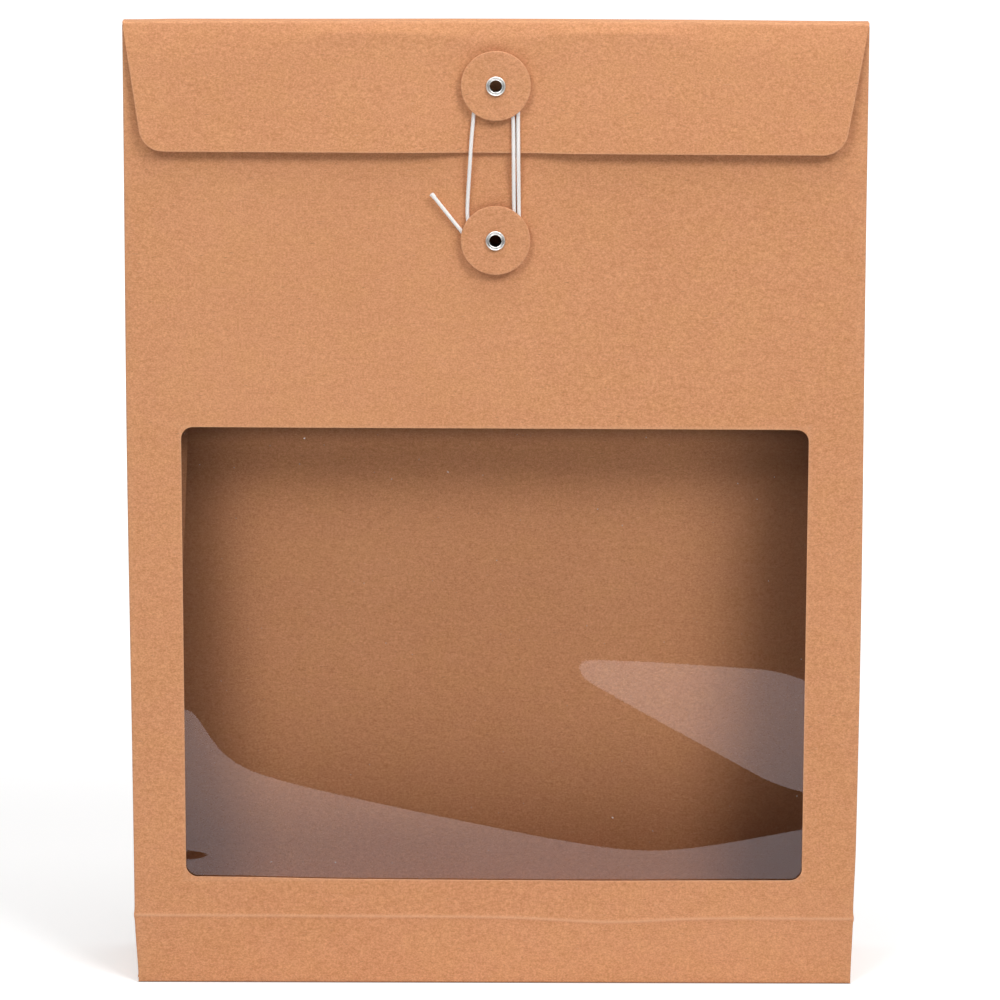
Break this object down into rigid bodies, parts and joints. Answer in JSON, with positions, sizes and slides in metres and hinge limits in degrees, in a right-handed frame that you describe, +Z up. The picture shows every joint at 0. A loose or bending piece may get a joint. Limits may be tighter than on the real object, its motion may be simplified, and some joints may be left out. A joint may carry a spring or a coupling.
{
  "type": "kraft document pouch",
  "caption": "Gusseted kraft card pouch that stands on a flat base, with a clear film window and a fold-over flap held shut by a string wound round card discs.",
  "frame": {"origin": "centre of the base's underside, where the pouch stands", "axes": "+Z up towards the spine, -Y out of the front with the window, +X to the right seen from the front"},
  "size_m": [0.24, 0.0501, 0.323],
  "materials": {
    "kraft_card": "uncoated matt kraft with fine fibre grain",
    "disc_board": "uncoated matt kraft board",
    "clear_film": "clear glossy film",
    "nickel": "bright nickel plate",
    "cotton_string": "twisted natural white cotton"
  },
  "bodies": {
    "pouch": {"front_panel": "kraft_card", "front_foot": "kraft_card", "back_panel": "kraft_card", "left_gusset_front": "kraft_card", "left_gusset_back": "kraft_card", "left_gusset_foot": "kraft_card", "right_gusset_front": "kraft_card", "right_gusset_back": "kraft_card", "right_gusset_foot": "kraft_card", "base_outer_flap": "kraft_card", "base_inner_flap": "kraft_card", "base_left_tab": "kraft_card", "base_right_tab": "kraft_card", "seam_tab": "kraft_card", "window_film": "clear_film", "lower_eyelet": "nickel"},
    "spine": {"top_spine": "kraft_card"},
    "flap": {"flap": "kraft_card", "upper_eyelet": "nickel", "tie_string": "cotton_string"},
    "upper_disc": {"upper_disc": "disc_board"},
    "lower_disc": {"lower_disc": "disc_board"}
  },
  "joints": [
    {"name": "spine_fold", "type": "hinge", "parent": "pouch", "child": "spine", "pos_m": [0, -0.0155, 0.323], "axis": [-1, 0, 0], "range_deg": [0, 250], "deforming": ["tie_string"]},
    {"name": "flap_fold", "type": "hinge", "parent": "spine", "child": "flap", "pos_m": [0, -0.0242, 0.323], "axis": [-1, 0, 0], "range_deg": [0, 90]},
    {"name": "upper_disc_turn", "type": "hinge", "parent": "flap", "child": "upper_disc", "pos_m": [0, -0.0242, 0.3028], "axis": [0, -1, 0], "continuous": true},
    {"name": "lower_disc_turn", "type": "hinge", "parent": "pouch", "child": "lower_disc", "pos_m": [0, -0.0225, 0.2523], "axis": [0, -1, 0], "continuous": true}
  ],
  "couplings": [
    {"joint": "flap_fold", "follows": "spine_fold", "ratio": 0.36}
  ]
}
